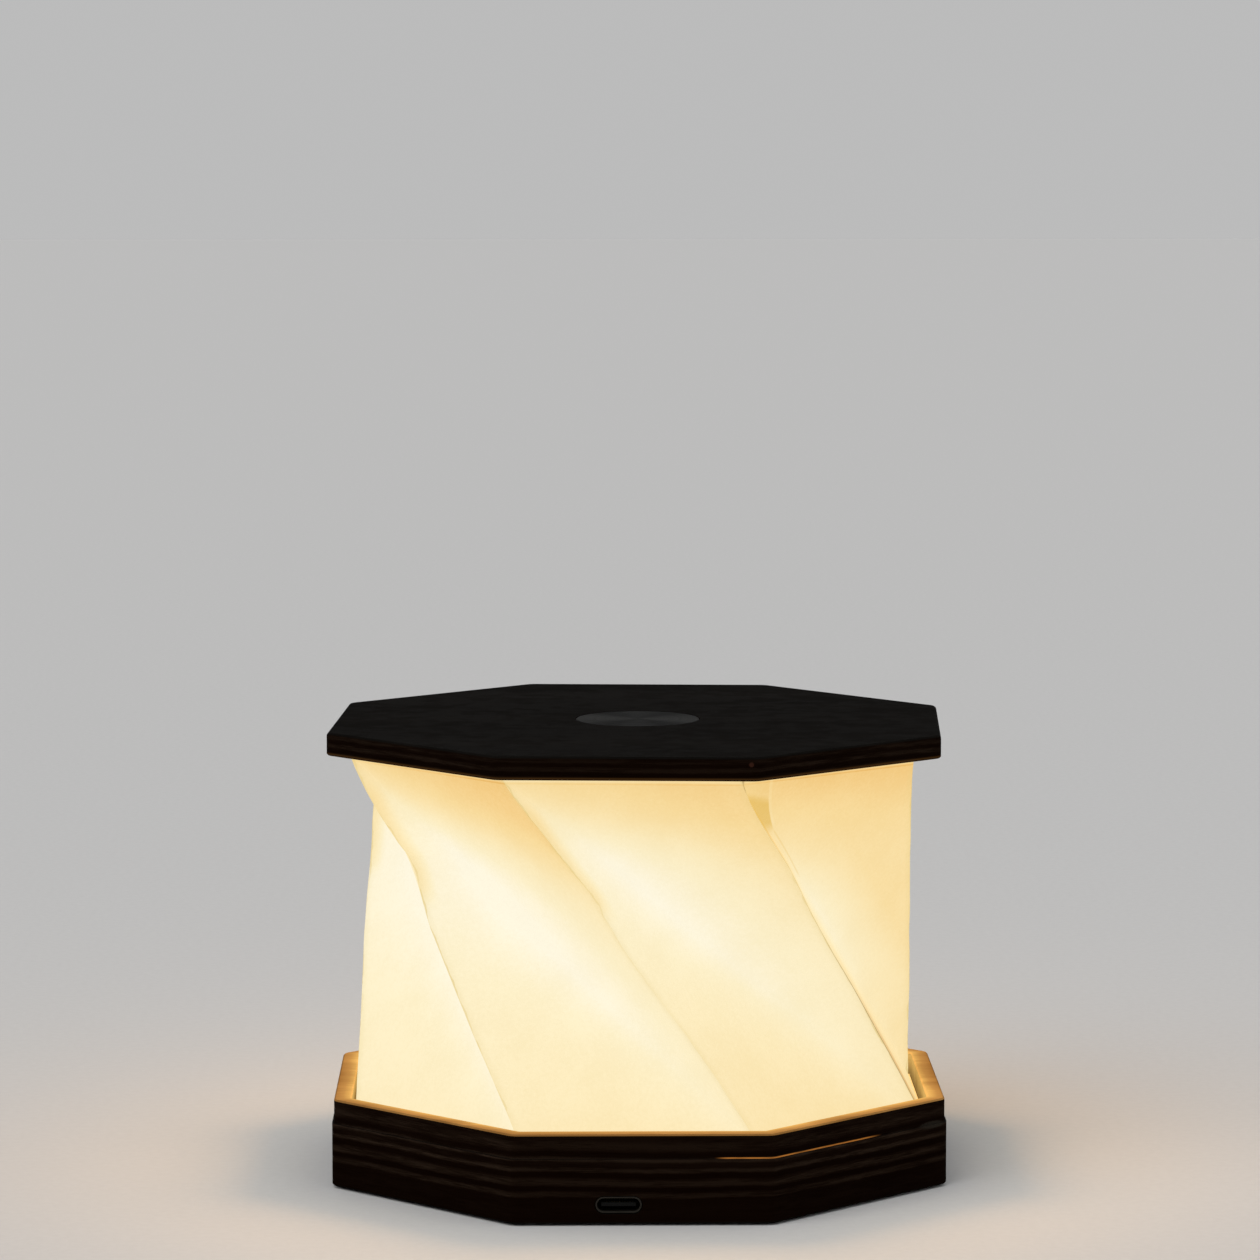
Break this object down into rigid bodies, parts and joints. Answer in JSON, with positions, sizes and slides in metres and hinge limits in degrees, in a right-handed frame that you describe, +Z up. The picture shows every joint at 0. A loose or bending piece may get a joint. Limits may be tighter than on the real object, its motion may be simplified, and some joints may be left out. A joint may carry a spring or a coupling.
{
  "type": "folding desk lamp",
  "caption": "Octagonal folding desk lamp: twist folded paper shade between a plywood base with a charging socket and a plywood top plate with a metal disc.",
  "frame": {"origin": "centre of the base, on the floor under its silicone pads", "axes": "+Z up along the axis the shade folds on, -Y towards the face with the charging socket, +X to the right seen from there"},
  "size_m": [0.1244, 0.1244, 0.0913],
  "materials": {
    "plywood": "oiled dark veneer with scorched cut edges",
    "shade_paper": "matte translucent paper, lit warm from inside",
    "disc_steel": "turned in fine circles",
    "glue_film": "pale double sided film",
    "silicone": "matte black silicone",
    "zinc_screw": "zinc plated",
    "socket_steel": "drawn stainless",
    "socket_mould": "moulded black",
    "green_board": "solder mask",
    "white_board": "white solder mask on aluminium",
    "emitter_gel": "yellow phosphor",
    "black_mould": "moulded black",
    "capacitor_clay": "fired ceramic",
    "cell_foil": "laminated foil pouch",
    "foam_tape": "double sided foam",
    "white_mould": "moulded white",
    "lead_cover": "insulated copper lead",
    "magnet_nickel": "nickel plated"
  },
  "bodies": {
    "base": {"bottom_plate": "plywood", "middle_ring": "plywood", "deck_plate": "plywood", "rim_ring": "plywood", "lower_glue_ring": "glue_film", "foot_pads": "silicone", "case_screws": "zinc_screw", "light_screws": "zinc_screw", "usb_shell": "socket_steel", "usb_tongue": "socket_mould", "charge_chip": "socket_mould", "power_coil": "socket_mould", "charge_board": "green_board", "cell_guard_board": "green_board", "light_board": "white_board", "emitters": "emitter_gel", "opening_sensor": "black_mould", "board_capacitors": "capacitor_clay", "battery_cell": "cell_foil", "battery_tape": "foam_tape", "battery_header": "white_mould", "battery_plug": "white_mould", "battery_leads": "lead_cover", "light_leads": "lead_cover", "base_magnet": "magnet_nickel"},
    "shade": {"shade": "shade_paper"},
    "top": {"top_plate": "plywood", "top_disc": "disc_steel", "plate_magnet": "magnet_nickel", "upper_glue_ring": "glue_film"}
  },
  "joints": [
    {"name": "top_lift", "type": "slide", "parent": "base", "child": "shade", "axis": [0, 0, 1], "range_m": [-0.06865, 0], "deforming": ["shade"]},
    {"name": "top_twist", "type": "hinge", "parent": "shade", "child": "top", "pos_m": [0, 0, 0.08665], "axis": [0, 0, 1], "range_deg": [-42, 0]}
  ],
  "couplings": [
    {"joint": "top_twist", "follows": "top_lift", "rad_per_m": 10.678}
  ]
}
